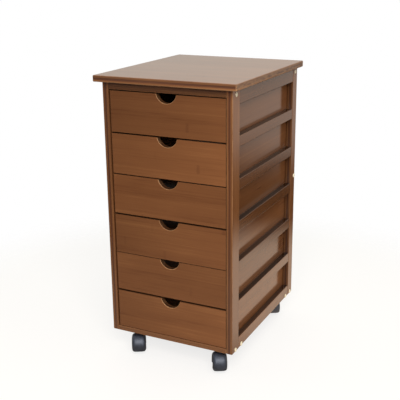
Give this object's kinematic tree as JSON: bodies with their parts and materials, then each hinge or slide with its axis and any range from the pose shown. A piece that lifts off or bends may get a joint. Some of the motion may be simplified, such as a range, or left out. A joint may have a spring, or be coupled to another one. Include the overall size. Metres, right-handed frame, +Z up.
{
  "type": "storage drawer unit",
  "caption": "Narrow bamboo storage unit on twin-wheel casters, brown stained, open side frames, stacked drawers with half-moon finger cut-outs under a light top panel.",
  "frame": {"origin": "on the floor under the middle of the unit, at the bottom centre of its bounding box", "axes": "+Z up, -Y the way the drawer fronts face and the drawers pull out, +X to the right of someone looking at the fronts"},
  "size_m": [0.33, 0.39, 0.641],
  "materials": {
    "bamboo_top": "satin lacquer over brown stain",
    "bamboo_case": "satin lacquer over brown stain",
    "bamboo_drawer_front": "satin lacquer over brown stain",
    "bamboo_drawer_box": "glossy lacquer over brown stain",
    "caster_plate_steel": "zinc plated",
    "caster_housing_plastic": "satin moulded black",
    "caster_wheel_plastic": "moulded black"
  },
  "bodies": {
    "case": {"top_panel": "bamboo_top", "stile_front_left": "bamboo_case", "stile_front_right": "bamboo_case", "stile_rear_left": "bamboo_case", "stile_rear_right": "bamboo_case", "side_rail_top_left": "bamboo_case", "side_rail_top_right": "bamboo_case", "side_rail_1_left": "bamboo_case", "side_rail_1_right": "bamboo_case", "side_rail_2_left": "bamboo_case", "side_rail_2_right": "bamboo_case", "side_rail_3_left": "bamboo_case", "side_rail_3_right": "bamboo_case", "side_rail_4_left": "bamboo_case", "side_rail_4_right": "bamboo_case", "side_rail_5_left": "bamboo_case", "side_rail_5_right": "bamboo_case", "side_rail_bottom_left": "bamboo_case", "side_rail_bottom_right": "bamboo_case", "front_stretcher_top": "bamboo_case", "rear_stretcher_top": "bamboo_case", "rear_slat_middle": "bamboo_case", "bottom_board_front": "bamboo_case", "bottom_board_rear": "bamboo_case", "caster_plate_front_left": "caster_plate_steel", "caster_plate_front_right": "caster_plate_steel", "caster_plate_rear_left": "caster_plate_steel", "caster_plate_rear_right": "caster_plate_steel"},
    "drawer_1": {"drawer_1_front": "bamboo_drawer_front", "drawer_1_side_left": "bamboo_drawer_box", "drawer_1_side_right": "bamboo_drawer_box", "drawer_1_tray": "bamboo_drawer_box"},
    "drawer_2": {"drawer_2_front": "bamboo_drawer_front", "drawer_2_side_left": "bamboo_drawer_box", "drawer_2_side_right": "bamboo_drawer_box", "drawer_2_tray": "bamboo_drawer_box"},
    "drawer_3": {"drawer_3_front": "bamboo_drawer_front", "drawer_3_side_left": "bamboo_drawer_box", "drawer_3_side_right": "bamboo_drawer_box", "drawer_3_tray": "bamboo_drawer_box"},
    "drawer_4": {"drawer_4_front": "bamboo_drawer_front", "drawer_4_side_left": "bamboo_drawer_box", "drawer_4_side_right": "bamboo_drawer_box", "drawer_4_tray": "bamboo_drawer_box"},
    "drawer_5": {"drawer_5_front": "bamboo_drawer_front", "drawer_5_side_left": "bamboo_drawer_box", "drawer_5_side_right": "bamboo_drawer_box", "drawer_5_tray": "bamboo_drawer_box"},
    "drawer_6": {"drawer_6_front": "bamboo_drawer_front", "drawer_6_side_left": "bamboo_drawer_box", "drawer_6_side_right": "bamboo_drawer_box", "drawer_6_tray": "bamboo_drawer_box"},
    "swivel_front_left": {"caster_housing_front_left": "caster_housing_plastic"},
    "wheels_front_left": {"caster_wheels_front_left": "caster_wheel_plastic"},
    "swivel_front_right": {"caster_housing_front_right": "caster_housing_plastic"},
    "wheels_front_right": {"caster_wheels_front_right": "caster_wheel_plastic"},
    "swivel_rear_left": {"caster_housing_rear_left": "caster_housing_plastic"},
    "wheels_rear_left": {"caster_wheels_rear_left": "caster_wheel_plastic"},
    "swivel_rear_right": {"caster_housing_rear_right": "caster_housing_plastic"},
    "wheels_rear_right": {"caster_wheels_rear_right": "caster_wheel_plastic"}
  },
  "joints": [
    {"name": "drawer_1_slide", "type": "slide", "parent": "case", "child": "drawer_1", "axis": [0, -1, 0], "range_m": [0, 0.3]},
    {"name": "drawer_2_slide", "type": "slide", "parent": "case", "child": "drawer_2", "axis": [0, -1, 0], "range_m": [0, 0.3]},
    {"name": "drawer_3_slide", "type": "slide", "parent": "case", "child": "drawer_3", "axis": [0, -1, 0], "range_m": [0, 0.3]},
    {"name": "drawer_4_slide", "type": "slide", "parent": "case", "child": "drawer_4", "axis": [0, -1, 0], "range_m": [0, 0.3]},
    {"name": "drawer_5_slide", "type": "slide", "parent": "case", "child": "drawer_5", "axis": [0, -1, 0], "range_m": [0, 0.3]},
    {"name": "drawer_6_slide", "type": "slide", "parent": "case", "child": "drawer_6", "axis": [0, -1, 0], "range_m": [0, 0.3]},
    {"name": "swivel_front_left", "type": "hinge", "parent": "case", "child": "swivel_front_left", "pos_m": [-0.103, -0.147, 0.046], "axis": [0, 0, 1], "continuous": true},
    {"name": "wheel_spin_front_left", "type": "hinge", "parent": "swivel_front_left", "child": "wheels_front_left", "pos_m": [-0.091, -0.16778, 0.02], "axis": [0.866, 0.5, 0], "continuous": true},
    {"name": "swivel_front_right", "type": "hinge", "parent": "case", "child": "swivel_front_right", "pos_m": [0.103, -0.147, 0.046], "axis": [0, 0, 1], "continuous": true},
    {"name": "wheel_spin_front_right", "type": "hinge", "parent": "swivel_front_right", "child": "wheels_front_right", "pos_m": [0.115, -0.16778, 0.02], "axis": [0.866, 0.5, 0], "continuous": true},
    {"name": "swivel_rear_left", "type": "hinge", "parent": "case", "child": "swivel_rear_left", "pos_m": [-0.103, 0.174, 0.046], "axis": [0, 0, 1], "continuous": true},
    {"name": "wheel_spin_rear_left", "type": "hinge", "parent": "swivel_rear_left", "child": "wheels_rear_left", "pos_m": [-0.09324, 0.15207, 0.02], "axis": [0.9135, 0.4067, 0], "continuous": true},
    {"name": "swivel_rear_right", "type": "hinge", "parent": "case", "child": "swivel_rear_right", "pos_m": [0.103, 0.174, 0.046], "axis": [0, 0, 1], "continuous": true},
    {"name": "wheel_spin_rear_right", "type": "hinge", "parent": "swivel_rear_right", "child": "wheels_rear_right", "pos_m": [0.11607, 0.15387, 0.02], "axis": [0.8387, 0.5446, 0], "continuous": true}
  ]
}
